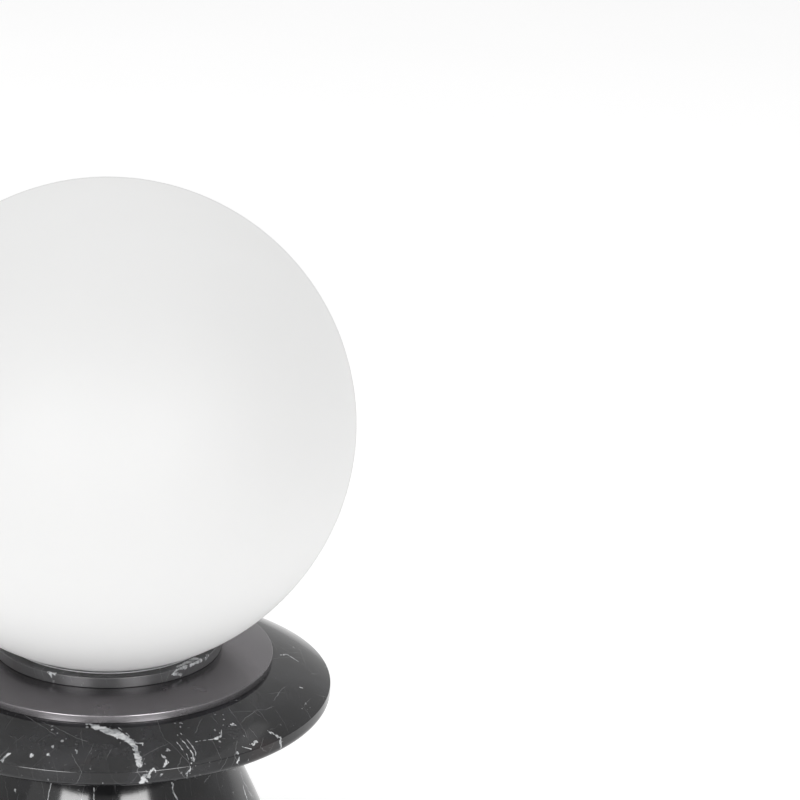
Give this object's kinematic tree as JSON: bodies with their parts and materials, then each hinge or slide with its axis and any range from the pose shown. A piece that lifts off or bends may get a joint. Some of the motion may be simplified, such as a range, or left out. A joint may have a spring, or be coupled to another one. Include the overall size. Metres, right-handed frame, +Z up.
{
  "type": "table lamp",
  "caption": "Table lamp: opal glass globe standing in a stone collar on a satin metal plate, a ridged stone disc and a flared stone body; globe lifts off, bulb pulls out.",
  "frame": {"origin": "centre of the surface that the lamp stands on", "axes": "+Z up along the lamp's axis, +Y to the rear, out of the cable inlet, +X to the right seen from the front"},
  "size_m": [0.2, 0.2, 0.3442],
  "materials": {
    "opal_glass": "satin opal white, blown",
    "clear_silicone": "soft, translucent",
    "black_marble": "polished black stone with white veins",
    "gunmetal": "satin, dark grey",
    "zinc_steel": "bright zinc plated",
    "spring_steel": "satin spring steel",
    "brass": "turned",
    "white_ceramic": "unglazed electrical ceramic",
    "white_plastic": "moulded",
    "frosted_plastic": "frosted bulb envelope",
    "led_board": "board with light-emitting chips",
    "black_rubber": "moulded",
    "black_felt": "pressed felt",
    "black_steel": "black powder coat",
    "lead_insulation": "silicone insulated lead"
  },
  "bodies": {
    "root": {"seat_gasket": "clear_silicone", "marble_collar": "black_marble", "metal_plate": "gunmetal", "marble_disc": "black_marble", "marble_body": "black_marble", "tie_tube": "zinc_steel", "tube_bushes": "white_plastic", "top_nut": "brass", "lock_washer": "zinc_steel", "globe_spring": "spring_steel", "bracket_nut": "brass", "base_nut": "brass", "base_washer": "zinc_steel", "cushion_washer": "black_rubber", "lampholder_bracket": "zinc_steel", "lampholder": "white_ceramic", "holder_screws": "zinc_steel", "socket_contacts": "brass", "base_cover": "black_steel", "cover_screws": "zinc_steel", "cover_inserts": "brass", "foot_pad": "black_felt", "inlet_bush": "brass", "terminal_block": "white_plastic", "terminal_barrels": "brass", "terminal_screws": "zinc_steel", "terminal_mount_screw": "zinc_steel", "inner_leads": "lead_insulation"},
    "globe": {"glass_globe": "opal_glass"},
    "bulb": {"bulb_pins": "zinc_steel", "bulb_base": "white_plastic", "bulb_envelope": "frosted_plastic", "bulb_core": "led_board"}
  },
  "joints": [
    {"name": "globe_lift", "type": "slide", "parent": "root", "child": "globe", "axis": [0, 0, 1], "range_m": [0, 0.09]},
    {"name": "bulb_pull", "type": "slide", "parent": "root", "child": "bulb", "axis": [0, 0, 1], "range_m": [0, 0.012]}
  ]
}
